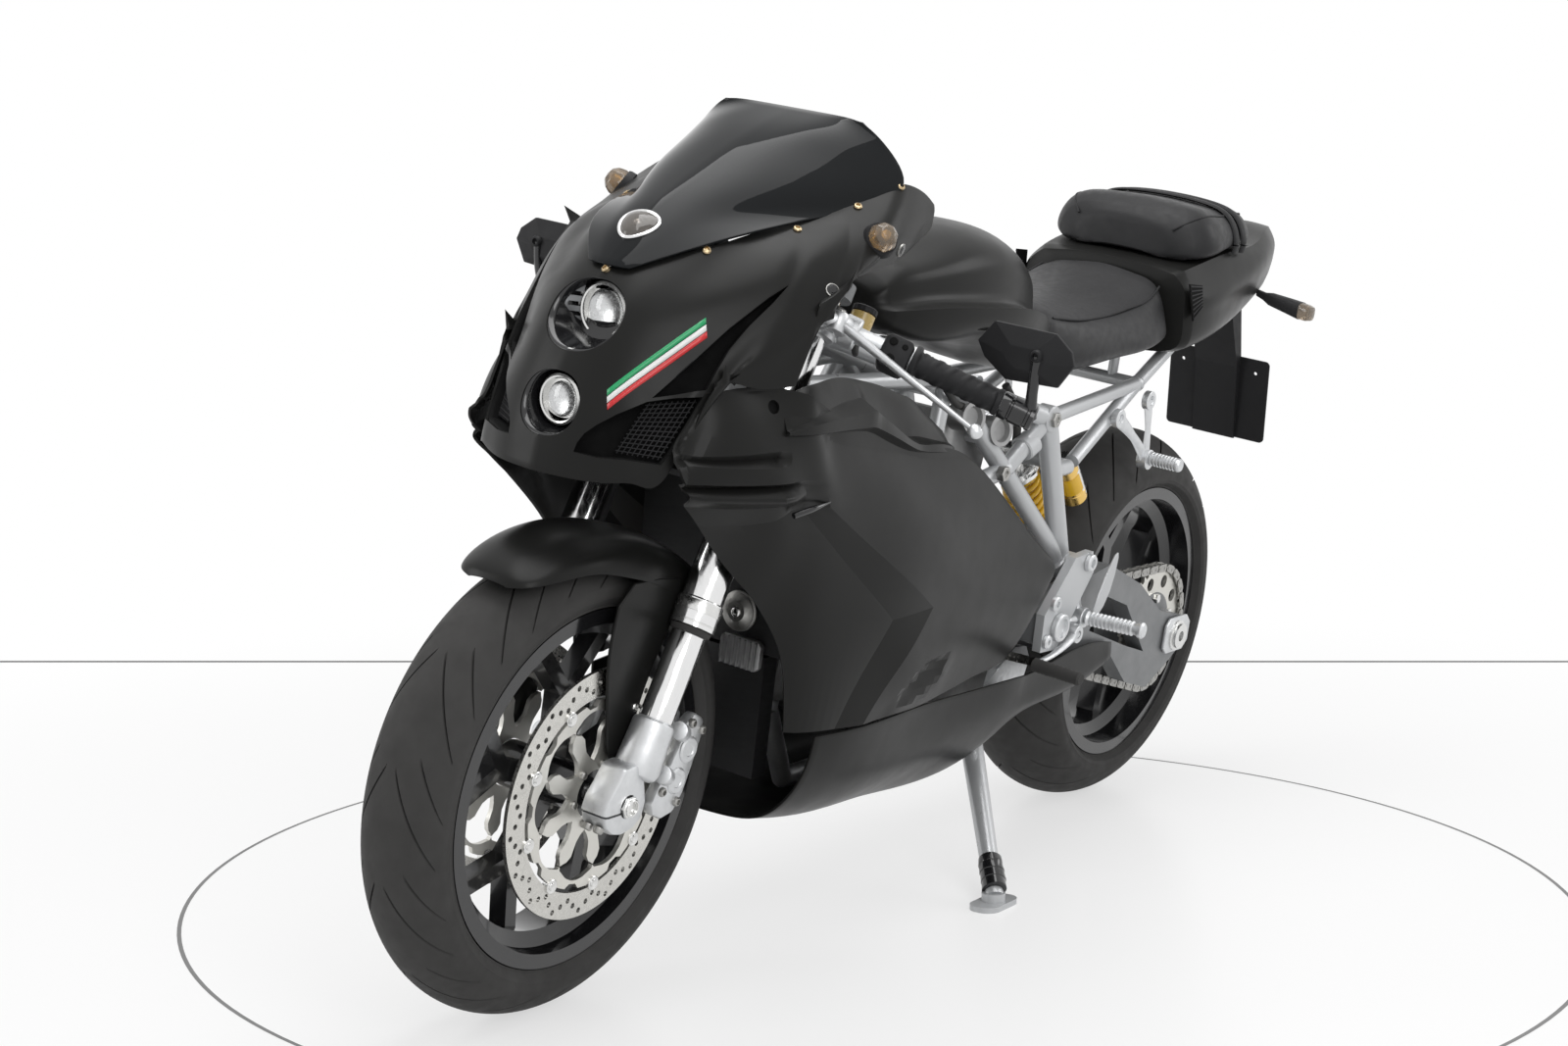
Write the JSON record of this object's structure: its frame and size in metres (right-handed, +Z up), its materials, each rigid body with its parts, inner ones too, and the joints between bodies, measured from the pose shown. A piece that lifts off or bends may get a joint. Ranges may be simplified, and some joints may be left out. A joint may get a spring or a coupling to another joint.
{
  "type": "sport motorcycle",
  "caption": "Faired sport motorcycle with a tubular trellis frame, bar-end mirrors and a tinted screen, leaning on its side stand.",
  "frame": {"origin": "on the floor, below the middle of the leaning motorcycle's bounding box", "axes": "+Z up, -Y towards the front wheel, +X towards the rider's left; the bike leans 9.4 degrees to its left"},
  "size_m": [0.8722, 2.1124, 1.1324],
  "materials": {
    "tyre": "matt",
    "wheel_black": "gloss",
    "disc_steel": "brushed",
    "bare_alloy": "satin",
    "chain_steel": "worn",
    "polished_alloy": "polished",
    "cast_alloy": "cast",
    "black_alloy": "satin",
    "black_plastic": "matt",
    "satin_black": "satin",
    "satin_black_metal": "satin",
    "frame_silver": "satin",
    "stand_silver": "satin",
    "arm_grey": "satin",
    "bright_steel": "bright",
    "anodised_gold": "anodised",
    "spring_yellow": "gloss",
    "lamp_glass": "clear",
    "smoked_screen": "smoked",
    "seat_leather": "matt",
    "red_lens": "gloss"
  },
  "bodies": {
    "chassis": {"chain": "chain_steel", "frame": "frame_silver", "subframe": "frame_silver", "swingarm": "arm_grey", "rear_axle": "bright_steel", "rear_caliper": "cast_alloy", "shock_body": "anodised_gold", "shock_spring": "spring_yellow", "engine": "cast_alloy", "radiator": "black_alloy", "exhaust": "bright_steel", "nose_fairing": "satin_black", "headlights": "lamp_glass", "position_lamp": "lamp_glass", "flank_left": "satin_black", "flank_right": "satin_black", "side_panel_left": "satin_black", "side_panel_right": "satin_black", "belly_pan": "satin_black", "air_ducts": "black_plastic", "windscreen": "smoked_screen", "dashboard": "black_plastic", "fuel_tank": "satin_black_metal", "rider_seat": "seat_leather", "pillion_seat": "seat_leather", "tail_unit": "satin_black", "tail_lamp": "red_lens", "indicators": "black_plastic", "plate_holder": "black_plastic", "footrest_left": "bare_alloy", "footrest_right": "bare_alloy", "pillion_footrests": "black_alloy", "stand_bracket": "black_alloy", "fairing_stay": "black_alloy"},
    "steering": {"fork_tubes": "polished_alloy", "fork_bottoms": "cast_alloy", "yokes": "black_alloy", "handlebars": "black_alloy", "controls": "black_plastic", "mirrors": "black_alloy", "front_mudguard": "satin_black", "front_calipers": "cast_alloy"},
    "front_wheel": {"front_rim": "wheel_black", "front_tyre": "tyre", "front_discs": "disc_steel"},
    "rear_wheel": {"rear_rim": "wheel_black", "rear_tyre": "tyre", "rear_disc": "disc_steel", "rear_sprocket": "bare_alloy"},
    "side_stand": {"side_stand": "stand_silver"}
  },
  "joints": [
    {"name": "steering", "type": "hinge", "parent": "chassis", "child": "steering", "pos_m": [-0.09815, -0.72349, 0.28257], "axis": [0.1486, 0.4147, 0.8977], "range_deg": [-28, 28]},
    {"name": "front_wheel_spin", "type": "hinge", "parent": "steering", "child": "front_wheel", "pos_m": [-0.09571, -0.75625, 0.2973], "axis": [0.9866, 0, -0.1633], "continuous": true},
    {"name": "rear_wheel_spin", "type": "hinge", "parent": "chassis", "child": "rear_wheel", "pos_m": [-0.09326, 0.66375, 0.3121], "axis": [0.9866, 0, -0.1633], "continuous": true},
    {"name": "side_stand_fold", "type": "hinge", "parent": "chassis", "child": "side_stand", "pos_m": [-0.00748, 0.12575, 0.19349], "axis": [0.6771, -0.2081, 0.7058], "range_deg": [0, 118.4]}
  ]
}
